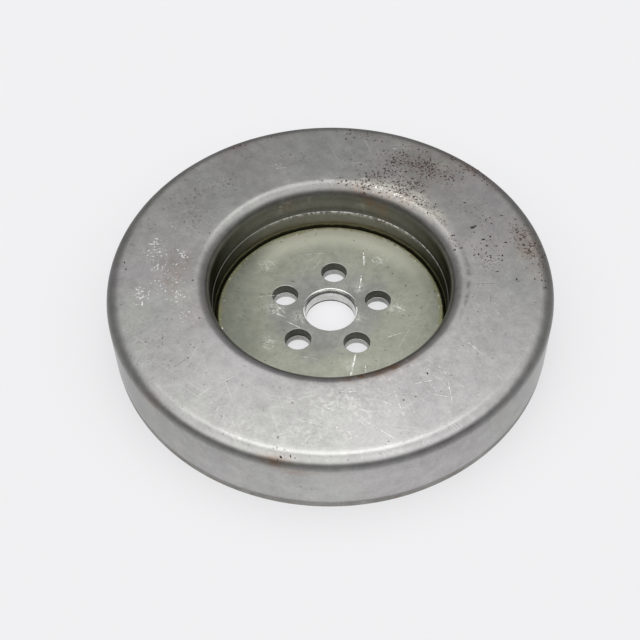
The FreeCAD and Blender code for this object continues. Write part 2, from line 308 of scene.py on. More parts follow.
# %% Tree for a round piece
def make_turned_tree():
    tree, given, result = new_group("GeometryNodeTree", "turned_piece", (
        ("Section", "Geometry", None), ("Segments", "Int", 360), ("Waviness", "Float", 0.0),
        ("Wave Size", "Float", 0.03), ("Seed", "Float", 1.0), ("Finish", "Material", None),
    ), (("Piece", "Geometry"),))
    count = get(tree, "GeometryNodeAttributeDomainSize", {0: given["Section"]}, "Point Count")
    grid = get(tree, "GeometryNodeMeshGrid", {
        "Size X": 1.0, "Size Y": 1.0, "Vertices X": given["Segments"] + 1, "Vertices Y": count})
    here = get(tree, "GeometryNodeInputPosition")
    across, up = parts(here)[:2]
    turn = (across + 0.5) * math.tau
    along = (up + 0.5) * (count - 1)
    sample = get(tree, "GeometryNodeSampleIndex", {
        "Geometry": given["Section"], "Index": calc("ROUND", along), "Value": here},
        data_type="FLOAT_VECTOR", domain="POINT")
    radius, _, height = parts(sample)
    spot = vector(radius * calc("COSINE", turn), radius * calc("SINE", turn), height)
    closed = welded(moved(grid, Position=spot), 1e-6)
    wave = get(tree, "ShaderNodeTexNoise", {
        "W": given["Seed"], "Scale": 1.0 / given["Wave Size"], "Detail": 1.0}, noise_dimensions="4D")
    push = (wave - 0.5) * given["Waviness"]
    waved = moved(closed, Offset=arrow("SCALE", get(tree, "GeometryNodeInputNormal"), Scale=push))
    finish_tree(result[0], waved, given["Finish"])
    return tree


turned_tree = make_turned_tree()
print("turned_piece:", len(turned_tree.nodes), "nodes")

# %% Helpers that run a tree and draw a section
def grow(name, tree, settings, mesh=None, bevel=None):
    """Runs a Geometry Nodes tree with these settings and gives the result as an object with a plain mesh."""
    source = bpy.data.objects.new(name + "_source", mesh or bpy.data.meshes.new(name + "_start"))
    scene.collection.objects.link(source)
    modifier = source.modifiers.new("tree", "NODES")
    modifier.node_group = tree
    for item in tree.interface.items_tree:
        if item.item_type == "SOCKET" and item.in_out == "INPUT" and item.name in settings:
            modifier[item.identifier] = settings[item.name]
    if bevel:
        edge = source.modifiers.new("edges", "BEVEL")
        edge.width, edge.segments, edge.limit_method, edge.angle_limit = bevel, 3, "ANGLE", math.radians(40)
    bpy.context.view_layer.update()
    made = bpy.data.meshes.new_from_object(source.evaluated_get(bpy.context.evaluated_depsgraph_get()))
    bpy.data.objects.remove(source)
    made.name = name
    piece = bpy.data.objects.new(name, made)
    scene.collection.objects.link(piece)
    made.calc_loop_triangles()
    print("%-14s %6d triangles" % (name, len(made.loop_triangles)))
    return piece


def arc(radius, height, bend, start, end, steps=12):
    """Points on a round bend in the radius-height plane, in mm, with angles in degrees."""
    angles = [math.radians(start + (end - start) * step / steps) for step in range(steps + 1)]
    return [(radius + bend * math.cos(angle), height + bend * math.sin(angle)) for angle in angles]


def run(start, end, pieces):
    """Points on a straight run, without its two ends, so that noise and masks have something to hold."""
    return [(start[0] + (end[0] - start[0]) * i / pieces, start[1] + (end[1] - start[1]) * i / pieces)
            for i in range(1, pieces)]


def section_mesh(name, points):
    """A closed section as a line of edges, from points in mm."""
    points = list(points) + [points[0]]
    mesh = bpy.data.meshes.new(name)
    mesh.from_pydata([(radius * MM, 0, height * MM) for radius, height in points],
                     [(i, i + 1) for i in range(len(points) - 1)], [])
    return mesh


# %% [markdown]
# ## Casing
# A deep-drawn sheet-steel channel, 3 mm thick: outer wall, flat top and the wall of the well. The well is
# turned a little wider above, which leaves a fine ledge all round. The section follows the CAD model, with the
# small roundings of a used edge.
# %% Casing shape
OUTER, TOP, BASE = 100.0, 32.8, 3.0
OUTER_BEND, LIP_BEND = 6.4, 6.0
WELL, TAPER_FOOT, LOW_WELL = 54.3, 53.9, 53.5
LEDGE, TAPER_TOP, EDGE = 16.9, 20.4, 0.16
TAPER = 0.115
INNER_WALL, OUTER_CHAMBER, CEILING = 56.5, 97.0, 29.8
CORNER, SEAM = 2, 0.3

foot, bend_foot = (OUTER, BASE + SEAM), (OUTER, TOP - OUTER_BEND)
top_outer, top_inner = (OUTER - OUTER_BEND, TOP), (WELL + LIP_BEND, TOP)
casing_section = (
    [foot] + run(foot, bend_foot, 14) + arc(OUTER - OUTER_BEND, TOP - OUTER_BEND, OUTER_BEND, 0, 90, 16)
    + run(top_outer, top_inner, 24) + arc(WELL + LIP_BEND, TOP - LIP_BEND, LIP_BEND, 90, 180, 16)
    + run((WELL, TOP - LIP_BEND), (WELL, TAPER_TOP), 4) + [(WELL, TAPER_TOP)]
    + [(TAPER_FOOT + TAPER * rise, LEDGE + rise) for rise in (2.4, 1.4, 0.8, 0.45, 0.25, 0.12)]
    + arc(LOW_WELL + EDGE, LEDGE - EDGE, EDGE, 90, 180, 8)
    + run((LOW_WELL, LEDGE - EDGE), (LOW_WELL, BASE), 8) + [(LOW_WELL, BASE)]
    + [(INNER_WALL, BASE), (INNER_WALL, CEILING - CORNER), (INNER_WALL + CORNER, CEILING)]
    + [(OUTER_CHAMBER - CORNER, CEILING), (OUTER_CHAMBER, CEILING - CORNER), (OUTER_CHAMBER, BASE)]
    + [(OUTER - SEAM, BASE)]
)
casing = grow("casing_shell", turned_tree, {
    "Segments": 384, "Waviness": 0.09 * MM, "Wave Size": 26 * MM, "Seed": 4.0},
    section_mesh("casing_section", casing_section))

# %% [markdown]
# ## Plates with holes
# The base plate and the hub disc are flat plates with one hole in the middle and others evenly round it. A
# press shop would set the hole size, the circle and the count, so those are the tree's inputs: circles are
# placed round the centre, filled to a flat face, raised to the plate's thickness, and sloped at the rim.
# %% Tree for a drilled plate
def circle(tree, corners, radius):
    return get(tree, "GeometryNodeCurvePrimitiveCircle", {"Resolution": corners, "Radius": radius})


def ring_of_holes(tree, count, distance, turn, radius):
    """Circles placed evenly round the axis."""
    angle = get(tree, "GeometryNodeInputIndex") / most(count, 1) * math.tau + turn
    spot = vector(distance * calc("COSINE", angle), distance * calc("SINE", angle))
    points = moved(get(tree, "GeometryNodePoints", {"Count": count}), Position=spot)
    return get(tree, "GeometryNodeInstanceOnPoints", {"Points": points, "Instance": circle(tree, 72, radius)})


def make_plate_tree():
    tree, given, result = new_group("GeometryNodeTree", "drilled_plate", (
        ("Radius", "Float", 0.05), ("Thickness", "Float", 0.003), ("Foot", "Float", 0.0),
        ("Slope Width", "Float", 0.0005), ("Slope Depth", "Float", 0.0005), ("Centre Hole", "Float", 0.0115),
        ("Bolt Hole", "Float", 0.0055), ("Bolt Circle", "Float", 0.02275), ("Bolt Count", "Int", 5),
        ("Bolt Turn", "Float", 0.0), ("Bore Chamfer", "Float", 0.0004), ("Fill Hole", "Float", 0.004),
        ("Fill Circle", "Float", 0.077), ("Fill Count", "Int", 0), ("Finish", "Material", None),
    ), (("Piece", "Geometry"),))
    radius, bore, chamfer = given["Radius"], given["Centre Hole"], given["Bore Chamfer"]
    bolts = ring_of_holes(tree, given["Bolt Count"], given["Bolt Circle"], given["Bolt Turn"], given["Bolt Hole"])
    fills = ring_of_holes(tree, given["Fill Count"], given["Fill Circle"], 0.0, given["Fill Hole"])
    outlines = joined(circle(tree, 288, radius), circle(tree, 144, bore), bolts, fills)
    real = get(tree, "GeometryNodeRealizeInstances", {0: outlines})
    flat = raised = get(tree, "GeometryNodeFillCurve", {0: real}, mode="TRIANGLES")
    for height in (given["Thickness"] - given["Slope Depth"], given["Slope Depth"] - chamfer, chamfer):
        raised = get(tree, "GeometryNodeExtrudeMesh", {
            "Mesh": raised, "Offset": vector(z=height), "Offset Scale": 1.0, "Individual": False}, mode="FACES")
    here = get(tree, "GeometryNodeInputPosition")
    reach, below = reach_of(here), given["Thickness"] - parts(here)[2]
    slope = given["Slope Width"] * calc("SUBTRACT", 1.0, below / given["Slope Depth"], clamp=True)
    opened = most(chamfer - below, 0.0)
    outwards = (reach < bore + 1e-5) * opened - (reach > radius - 1e-5) * slope
    from_axis = arrow("NORMALIZE", arrow("MULTIPLY", here, (1, 1, 0)))
    sloped = moved(raised, Offset=arrow("SCALE", from_axis, Scale=outwards))
    whole = welded(joined(sloped, get(tree, "GeometryNodeFlipFaces", {0: flat})), 1e-7)
    finish_tree(result[0], moved(whole, Offset=vector(z=given["Foot"])), given["Finish"], sharp=0.17)
    return tree


plate_tree = make_plate_tree()
print("drilled_plate:", len(plate_tree.nodes), "nodes")

# %% Base plate and hub disc shapes
BOLT_CIRCLE, BOLT_TURN, BOLT_COUNT = 22.75, math.radians(85.25), 5
BASE_BOLT_HOLE, HUB_BOLT_HOLE, HUB_TOP = 5.5, 5.9, 7.8

shared = {"Centre Hole": 11.5 * MM, "Bolt Circle": BOLT_CIRCLE * MM, "Bolt Count": BOLT_COUNT, "Bolt Turn": BOLT_TURN}
base = grow("base_disc", plate_tree, {
    **shared, "Radius": 99.8 * MM, "Thickness": 3.0 * MM, "Slope Width": 0.5 * MM, "Slope Depth": 0.5 * MM,
    "Bore Chamfer": 0.25 * MM, "Bolt Hole": BASE_BOLT_HOLE * MM, "Fill Count": 2}, bevel=0.15 * MM)
hub = grow("hub_plate", plate_tree, {
    **shared, "Radius": LOW_WELL * MM, "Thickness": 4.8 * MM, "Foot": 3.0 * MM, "Slope Width": 1.7 * MM,
    "Slope Depth": 2.5 * MM, "Bore Chamfer": 1.1 * MM, "Bolt Hole": HUB_BOLT_HOLE * MM}, bevel=0.3 * MM)

# %% [markdown]
# ## Masks painted on the pieces
# Rust, stains and scuffs sit where this damper was wet, rubbed or knocked. Each kind of mark is a number stored
# on the mesh's points, built from soft patches. A patch is given as a person would point at it: an angle round
# the axis, a radius, a height, and how far it spreads along, across and up. Materials read these numbers.
# %% Helpers that paint a mask
def points_of(piece):
    """The piece's points in mm, and each point's radius and angle round the axis."""
    flat = np.empty(len(piece.data.vertices) * 3)
    piece.data.vertices.foreach_get("co", flat)
    spots = flat.reshape(-1, 3) / MM
    return spots, np.hypot(spots[:, 0], spots[:, 1]), np.arctan2(spots[:, 1], spots[:, 0])


def store(piece, name, values):
    layer = piece.data.attributes.new(name, "FLOAT", "POINT")
    layer.data.foreach_set("value", np.clip(values, 0, 1).astype(np.float32))
    print("%s.%s: %.1f%% of the points" % (piece.name, name, 100 * float((values > 0.1).mean())))


def patch(points, angle, radius, along, across, strength, up=5, height=TOP):
    """A soft patch, strong in its middle. The angle is in degrees, lengths are in mm."""
    spots, radii, angles = points
    turn = (angles - math.radians(angle) + math.pi) % math.tau - math.pi
    away = (turn * radius / along) ** 2 + ((radii - radius) / across) ** 2 + ((spots[:, 2] - height) / up) ** 2
    return strength * np.exp(-away)


# %% Patches on the casing
PATCHES = {  # angle, radius, spread along and across, strength, then spread up if not 5 and height if not TOP
    "rust": (
        (56, 82, 14, 8, 1, 6), (64, 80, 9, 7, 0.9, 6), (47, 84, 7, 6, 0.8, 6), (80, 92, 12, 4, 0.5),
        (66, 70, 9, 6, 0.75), (70, 66, 8, 4, 0.8), (58, 65, 8, 4, 0.8), (50, 66, 6, 4, 0.6), (54, 69, 8, 7, 0.85, 6),
        (60, 90, 8, 4, 0.7, 6), (44, 95, 7, 3, 1, 6), (50, 94, 5, 3, 0.8, 6), (36, 95, 10, 2.4, 0.7, 6),
        (14, 90, 10, 6, 0.8, 6), (8, 92.5, 8, 5, 0.85, 6), (2, 95, 8, 3.5, 0.7, 6), (-3, 96, 6, 3, 0.4, 6),
        (82, 59, 6, 3, 0.6), (74, 59, 8, 4, 0.85), (64, 60, 8, 4, 0.7), (55, 62, 7, 6, 0.85), (47, 62, 6, 5, 0.75),
        (40, 61, 6, 4, 0.6), (33, 61, 5, 3, 0.5), (20, 60, 4, 3, 0.6), (15, 61, 3, 3, 0.5), (71, 77, 4, 4, 0.5, 4),
        (8, 72, 12, 9, 0.42, 4), (118, 94, 5, 2.5, 0.5, 4), (-102, 97, 7, 3, 0.22, 3, 31), (25, 78, 14, 10, 0.3, 6),
        (112, 95, 20, 3, 0.25, 4)),
    "stain": (
        (-77, 58, 8, 2.1, 1, 2.5, 31.9), (-66, 58.3, 9, 2.1, 1, 2.5, 32), (-58, 59, 6, 1.5, 0.6, 2, 32.3),
        (110, 54.3, 4, 2, 0.25, 5, 24.5), (116, 54.3, 3, 2, 0.2, 3, 23), (68, 54.3, 5, 2, 0.5, 5, 26),
        (62, 54.3, 3, 2, 0.5, 6, 25), (75, 55.5, 6, 3, 0.45, 3, 30), (-103, 98.6, 7, 2, 0.8, 2.2, 29.5),
        (-99, 99.6, 8, 2, 0.5, 1.5, 26), (-138, 98.6, 6, 2, 0.35, 2, 29), (57, 58, 14, 6, 0.3, 3),
        (54, 82, 17, 10, 0.2), (46, 95, 14, 4, 0.3), (10, 92, 13, 6, 0.38), (118, 94, 6, 3, 0.35, 4),
        (176, 68, 10, 6, 0.26), (-178, 70, 6, 5, 0.3), (-160, 62, 8, 6, 0.12), (60, 57, 20, 3, 0.3, 2, 31),
        (90, 53.5, 40, 1, 0.5, 0.9, 9.5)),
    "glints": (
        (166, 83, 4, 4, 0.9), (171, 79, 6, 6, 1), (177, 75, 6, 8, 0.9), (170, 68, 5, 4, 0.9), (-177, 67, 6, 4, 0.9),
        (-172, 84, 7, 4, 0.9), (-168, 69, 7, 5, 0.8), (-176, 76, 7, 6, 0.7), (-160, 69, 7, 5, 0.6),
        (160, 75, 5, 5, 0.4), (110, 75, 6, 4, 0.4), (57, 61, 14, 5, 0.75, 4), (70, 59, 9, 3, 0.7, 4),
        (40, 60, 8, 4, 0.5, 4), (-84, 70, 12, 7, 0.35), (-88, 86, 14, 5, 0.3)),
    "scuffed": (
        (-86, 70, 15, 8, 0.9), (-80, 76, 12, 6, 0.7), (-95, 84, 16, 6, 0.6), (-68, 63, 14, 4, 0.6),
        (-50, 68, 12, 8, 0.5), (-35, 70, 12, 10, 0.35), (-115, 88, 14, 5, 0.45), (150, 78, 20, 12, 0.25),
        (75, 82, 16, 10, 0.3), (70, 60, 24, 3, 0.7, 4), (45, 62, 16, 4, 0.6, 4), (114, 54.3, 4, 2, 0.8, 4, 25.5),
        (101, 54.3, 3, 2, 0.5, 3, 26), (73, 54.3, 3, 2, 0.5, 4, 24.5)),
    "smudged": (
        (140, 80, 16, 9, 0.9), (150, 70, 10, 7, 0.8), (128, 74, 12, 7, 0.7), (118, 88, 12, 5, 0.6),
        (160, 90, 12, 5, 0.5), (100, 78, 14, 8, 0.5), (80, 72, 12, 8, 0.6), (-150, 80, 14, 9, 0.4),
        (30, 80, 16, 9, 0.5), (70, 92, 12, 4, 0.5), (60, 72, 10, 8, 0.6)),
    "bleached": (
        (72, 60, 8, 3, 0.7, 4), (60, 61, 9, 4.5, 1, 4), (48, 62, 9, 5, 1, 4), (36, 61, 8, 4, 0.85, 4),
        (26, 60, 6, 3, 0.5, 4), (57, 67, 6, 4, 0.5, 4), (66, 90, 8, 4, 0.3, 4), (50, 88, 5, 3, 0.35, 4)),
}
casing_points = points_of(casing)
for name, rows in PATCHES.items():
    store(casing, name, np.max([patch(casing_points, *row) for row in rows], axis=0))


# %% Bands on the casing
spots, radii, angles = casing_points
heights = spots[:, 2]


def peak(values, middle, spread):
    """1 at the middle, and falling off on both sides as a bell does."""
    return np.exp(-((values - middle) / spread) ** 2)


def near_angle(degrees, start, spread):
    """Falls straight from start with the angle from this one, by 1 for each spread in degrees."""
    return start - np.abs(angles - math.radians(degrees)) / math.radians(spread)


# Besides oil and wear, these bands paint shade and a highlight into the well and onto the lip.
at_back = np.clip(near_angle(90, 1.3, 55), 0, 1)
aside = np.clip(-near_angle(90, 3.0, 16), 0, 1)
step_wall = 1 - np.abs(heights - 18.7) / 1.9
ledge_wall = 1.6 - np.abs(heights - 17.4)
for name, values in {
    # Bare metal on the ledge's rounded edge, and a painted highlight along it towards the back.
    "bare_edge_glint": peak(heights, LEDGE - 0.4 * EDGE, 0.15) * (radii < 54.2) * np.clip(near_angle(74, 1.0, 62), 0, 0.6),
    "tide_mark": 0.75 * peak(radii, 61.7, 0.75) * (heights > 31) * np.clip(near_angle(-6, 1.6, 14), 0, 1),
    # Oil in the well, with painted shade that deepens further down and is stronger at the sides than at the back.
    "oil_and_well_shade": np.clip((29.5 - heights) / 3.5, 0, 1) * (radii < 56) * (1 - 0.3 * at_back),
    # Painted shade: a dark band on the taper above the ledge, and over the ledge at the sides, where it dims the
    # ledge's bright line.
    "taper_shade": (np.clip(step_wall, 0, 1) + 1.5 * aside * np.clip(ledge_wall, 0, 1)) * (radii < 55),
    # A duller lip, darkened at the back as painted shade.
    "dull_lip_shade": np.clip((61.3 - radii) / 2.0, 0, 1) * (heights > 25) * at_back,
    "seam": np.clip((3.6 - heights) / 0.5, 0, 0.7) * (radii > 95),
}.items():
    store(casing, name, values)

# %% [markdown]
# ## Shared effects as shader groups
# The same few effects make every steel surface here: the grain and hairline scratches of rolled sheet, flecks of
# rust or bare metal, and the fine rings that a lathe leaves. Each is a node group built once, with its sizes as
# inputs, and each gives only a mask or a height, which a material then uses as it needs.
# %% Grain, flecks and turning rings
def grain_group():
    tree, given, result = new_group("ShaderNodeTree", "steel_grain", (("Scale", "Float", 1.0),), (
        ("Tone", "Float"), ("Grain", "Float"), ("Hairlines", "Float"), ("Tint", "Float")))
    place = arrow("SCALE", place_on(tree), Scale=given["Scale"])
    lines = 0.0
    for number, degrees in enumerate((8, 37, 71, 112, 149)):
        turned = get(tree, "ShaderNodeVectorRotate", {"Vector": place, "Angle": math.radians(degrees)})
        drawn_out = arrow("ADD", arrow("MULTIPLY", turned, (38.0, 3600.0, 60.0)), (0, 0, 7.3 * number))
        lines = most(fade(noise(drawn_out, 1.0, 0.0), 0.74, 0.82), lines)
    elsewhere = arrow("ADD", place, (3.1, 1.7, 0.4))
    feed(result["Tone"], noise(place, 32.0, 3.0) * 0.45 + noise(place, 190.0, 5.0, 0.65) * 0.55)
    feed(result["Grain"], noise(place, 1500.0))
    feed(result["Hairlines"], lines * fade(noise(place, 55.0), 0.42, 0.62))
    feed(result["Tint"], fade(noise(elsewhere, 24.0, 3.0), 0.36, 0.64))
    return tree


def fleck_group():
    """Ragged flecks that are rare where Cover is 0 and crowd together where it is 1."""
    tree, given, result = new_group("ShaderNodeTree", "flecks", (
        ("Cover", "Float", 0.5), ("Scale", "Float", 1200.0), ("Shift", "Float", 0.0)),
        (("Mask", "Float"), ("Halo", "Float")))
    place = arrow("ADD", place_on(tree), vector(z=given["Shift"]))
    crowd = given["Cover"] * fade(noise(place, 190.0), 0.3, 0.6, 0.5, 1.1)
    level = noise(place, given["Scale"], 3.0, 0.6) + crowd * 0.2
    some = fade(given["Cover"], 0.02, 0.12)
    feed(result["Mask"], fade(level, 0.7, 0.76) * some)
    feed(result["Halo"], fade(level, 0.58, 0.74) * some)
    return tree


def ring_group():
    """Fine rings round the axis, which wander a little, as a height."""
    tree, given, result = new_group("ShaderNodeTree", "turning_rings",
                                    (("Scale", "Float", 2500.0),), (("Height", "Float"),))
    place = place_on(tree)
    wrapped = vector(reach_of(place) * given["Scale"], parts(place)[2] * given["Scale"])
    feed(result["Height"], noise(arrow("ADD", wrapped, arrow("SCALE", place, Scale=25.0)), 1.0))
    return tree


GRAIN, FLECKS, RINGS = grain_group(), fleck_group(), ring_group()
print("shader groups:", [(group.name, len(group.nodes)) for group in (GRAIN, FLECKS, RINGS)])


# %% Helpers for materials
def use(tree, group, **inputs):
    """Places a shader group with its own values and gives its outputs."""
    return outputs_of(put(tree, "ShaderNodeGroup", inputs, node_tree=group))


def ring_marks(tree, scale):
    """The height of the rings from turning."""
    return use(tree, RINGS, Scale=scale)["Height"]


def painted(tree, *names):
    """Masks painted on the piece."""
    return [get(tree, "ShaderNodeAttribute", output="Fac", attribute_name=name) for name in names]


def coats(colour, *layers):
    """Lays these colours over the first one, each where its mask is."""
    for mask, tint in layers:
        colour = blend(mask, colour, tint)
    return colour


def darkened(colour, tint):
    return blend(1.0, colour, tint, "MULTIPLY")


def toned(grain, dark, light):
    """Two shades of the metal, mixed by its grain."""
    return blend(fade(grain["Tone"], 0.3, 0.7), dark, light)


def wander(place, scale, width, detail=3.0, rough=0.5):
    """A length that goes up and down by half this width, to make an edge uneven."""
    return (noise(place, scale, detail, rough) - 0.5) * width


def relief(height, distance, strength):
    """Bumps the surface by this height, where 1 stands for distance in metres."""
    return get(tree_of((height,)), "ShaderNodeBump", {"Height": height, "Distance": distance, "Strength": strength})


FINISHES = {}


def finish(name, recipe, *numbers):
    """Makes a material. The recipe is a function that gives what goes into the Principled shader."""
    material = bpy.data.materials.new(name)
    material.use_nodes = True
    tree = material.node_tree
    for key, value in recipe(tree, *numbers).items():
        feed(tree.nodes["Principled BSDF"].inputs[key], value)
    FINISHES[name] = material
    print("%s: %d nodes" % (name, len(tree.nodes)))


# %% [markdown]
# ## Casing steel
# Bare drawn steel, a dull satin grey with faint violet and olive clouds. Rust has started as dense dark flecks at
# the back right, oil has left a brown film on the lip, and the front carries a fan of scratches where the damper
# was slid about. Rust isn't metal, so it is dark, rough and only slightly metallic. In the well, oil and painted
# shade darken the wall, the crevice at its foot and a band on the taper are painted shade, and the ledge carries a
# painted highlight at the back. The back of the lip is darkened as painted shade.
# %% Casing steel
def casing_steel(tree):
    rust, stain, glints, scuffed, edge, tide_mark, well_oil_and_shade, taper_shade, lip, smudged, bleached, seam = painted(
        tree, "rust", "stain", "glints", "scuffed", "bare_edge_glint", "tide_mark", "oil_and_well_shade", "taper_shade", "dull_lip_shade",
        "smudged", "bleached", "seam")
    place = place_on(tree)
    height = parts(place)[2]
    grain = use(tree, GRAIN, Scale=1.0)
    clouds = blend(grain["Tint"], (0.99, 1.0, 0.975), (1.0, 0.985, 1.0))
    colour = darkened(toned(grain, (0.325, 0.32, 0.317), (0.434, 0.429, 0.422)), clouds)
    fine = fade(noise(place, 800.0, 3.0, 0.7), 0.36, 0.64)
    colour = blend(0.26, colour, blend(fine, (0.8, 0.8, 0.8), (1.16, 1.16, 1.16)), "MULTIPLY")

    scuffs = scuffed * fade(noise(place, 420.0, 4.0, 0.7), 0.47, 0.66)
    flecks = use(tree, FLECKS, Cover=glints * 1.15, Scale=820.0, Shift=0.3)["Mask"]
    # Oil and painted shade in the well, but not on the ledge's edge.
    oil_and_well_shade = well_oil_and_shade * (1.0 - edge)
    hairs = grain["Hairlines"] * fade(height, 0.0305, 0.0322, 0.0, 0.3)
    broken = fade(noise(place, 640.0, 1.0), 0.44, 0.52, 0.1, 1.0)
    chalky = bleached * fade(noise(place, 520.0, 4.0, 0.7), 0.4, 0.52)
    # Bright bare metal from scuffs, flecks and hairlines, and the ledge's bare edge with its painted highlight.
    bare = most(scuffs * 0.45, flecks * 0.85, hairs, edge * broken)
    film = stain * fade(noise(place, 260.0, 4.0, 0.65), 0.3, 0.6)
    in_well = reach_of(place) < 0.055
    uneven = height + wander(place, 230.0, 0.0022, 3.0, 0.6)
    oily = in_well * fade(uneven, 0.01, 0.009)
    # Painted shade: near black in the crevice at the foot of the well's wall.
    crevice_shade = in_well * fade(uneven, 0.0084, 0.0078)
    colour = coats(
        colour,
        # Oil and painted shade darken the well's wall.
        (oil_and_well_shade, darkened(colour, (0.36, 0.36, 0.32))),
        # Painted shade on the taper and at the sides of the ledge.
        (taper_shade * 0.35, (0.045, 0.045, 0.04)),
        # Dark dashes that break up the ledge's painted highlight.
        (edge * (1.0 - broken) * 1.5, (0.07, 0.07, 0.065)),
        # Painted shade on the back of the lip.
        (lip * (1.0 - oil_and_well_shade) * 0.42, (0.05, 0.05, 0.045)),
        (film, (0.29, 0.165, 0.095)),
        (bare, (0.83, 0.82, 0.79)),
        (chalky * 0.85, (0.5, 0.48, 0.42)),
        (oily * 0.9, (0.15, 0.148, 0.07)),
        (crevice_shade, (0.022, 0.023, 0.012)))

    rusty = use(tree, FLECKS, Cover=rust * 1.15, Scale=1050.0, Shift=0.0)
    stray = use(tree, FLECKS, Cover=0.14 + smudged * 0.56, Scale=620.0, Shift=0.1)
    crust = most(rusty["Mask"], stray["Mask"] * 0.8)
    tide = most(seam, tide_mark * fade(noise(place, 300.0), 0.35, 0.6))
    brown = blend(noise(place, 900.0, 1.0), (0.03, 0.025, 0.025), (0.09, 0.06, 0.054))
    colour = coats(
        colour,
        (stray["Halo"] * smudged * 0.4, (0.13, 0.13, 0.135)),
        (rusty["Halo"] * 0.42, (0.255, 0.2, 0.185)),
        (crust * 0.9, brown),
        (tide, (0.06, 0.056, 0.054)))

    dull = most(crust, tide)
    rough = 0.24 + grain["Tone"] * 0.12 + bare * 0.1 + lip * 0.09
    rings = ring_marks(tree, 1700.0)
    bumps = grain["Grain"] * 0.3 + rings * 0.35 + most(crust, chalky * 0.6) * 1.3
    return {
        "Base Color": colour,
        "Metallic": fade(most(dull, oily * 0.95, chalky * 0.8), 0.0, 1.0, 1.0, 0.15),
        "Specular Tint": blend(oil_and_well_shade, (0.62, 0.62, 0.62), (0.25, 0.25, 0.23)),
        "Roughness": most(rough, dull * 0.85, chalky * 0.55),
        "Normal": relief(bumps, 0.00006, 0.6)}


finish("casing_steel", casing_steel)

# %% [markdown]
# ## Hub and base steel
# The hub disc keeps a thin film of old oil, which turns the grey steel olive, most of all in a ring near its edge.
# The groove at the very edge holds oil and is painted near black as shade. A paler patch at the back is painted
# light, and the disc is painted lighter towards the front and darker on the left. Near the bore hands and tools
# have rubbed it clean. The holes were punched, and their dark walls are partly painted shade, while the bore was
# machined bright. The base plate is duller, with rings from turning on its underside.
# %% Hub disc steel
HUB_SCUFFS = ((-25.4, 0.8, 7), (-28.2, -19.1, 7), (30.1, -0.1, 6), (-14.0, -5.0, 6), (12.0, -5.0, 6),
              (13.0, 13.0, 5), (-30.0, 28.0, 7), (24.0, 30.0, 6), (9.0, -33.0, 5))  # x, y and size


def hub_steel(tree):
    place = place_on(tree)
    x, y, _ = parts(place)
    reach = reach_of(place)
    grain = use(tree, GRAIN, Scale=1.3)
    # Painted light: a paler patch near the disc's edge at the back.
    painted_back_light = fade(reach, 0.036, 0.046) * fade(y, 0.006, 0.036) * fade(x, -0.04, -0.022)
    olive = coats(toned(grain, (0.235, 0.245, 0.195), (0.335, 0.345, 0.285)), (painted_back_light * 0.75, (0.6, 0.61, 0.49)))
    clean = toned(grain, (0.2, 0.201, 0.185), (0.295, 0.296, 0.276))
    broad, ragged = wander(place, 60.0, 0.03), wander(place, 420.0, 0.004, 3.0, 0.6)
    colour = blend(fade(reach + broad, 0.034, 0.018), olive, clean)
    # Painted light and shade: lighter towards the front of the disc, and darker on its left.
    colour = darkened(colour, blend(fade(y, -0.018, -0.036), (0.95, 0.95, 0.95), (1.16, 1.16, 1.16)))
    colour = darkened(colour, blend(fade(x, -0.026, -0.046), (1, 1, 1), (0.72, 0.73, 0.72)))
    oiled_rim = fade(reach + broad * 0.1 + ragged, 0.0496, 0.0514)
    # Oil in the groove at the disc's edge, and painted shade that makes it near black.
    groove_oil_and_shade = fade(reach + ragged * 0.25, 0.0516, 0.0524)
    patches = []
    for scuff_x, scuff_y, size in HUB_SCUFFS:
        gap = arrow("DISTANCE", place, (scuff_x * MM, scuff_y * MM, HUB_TOP * MM), output=1)
        patches.append(fade(gap, size * MM, 0.0))
    scuffs = most(*patches) * fade(noise(place, 520.0, 5.0, 0.75), 0.42, 0.66)
    nicks = use(tree, FLECKS, Cover=fade(reach, 0.0485, 0.0505) * 0.45, Scale=900.0, Shift=0.2)["Mask"]
    spots = use(tree, FLECKS, Cover=0.22, Scale=560.0, Shift=0.4)["Mask"]
    rings = ring_marks(tree, 1500.0)
    return {
        "Base Color": coats(
            colour,
            (oiled_rim * 0.8, (0.25, 0.25, 0.12)),
            # Oil and painted shade in the groove.
            (groove_oil_and_shade, (0.035, 0.033, 0.01)),
            (most(scuffs * 0.5, grain["Hairlines"] * 0.2, nicks * (1.0 - groove_oil_and_shade)), (0.86, 0.86, 0.8)),
            (spots * 0.8, (0.06, 0.055, 0.04))),
        "Metallic": 0.5,
        "Roughness": most(0.34 + grain["Tone"] * 0.2, groove_oil_and_shade * 0.6),
        "Normal": relief(grain["Grain"] * 0.5 + rings * 0.2, 0.00006, 0.6)}


finish("hub_steel", hub_steel)


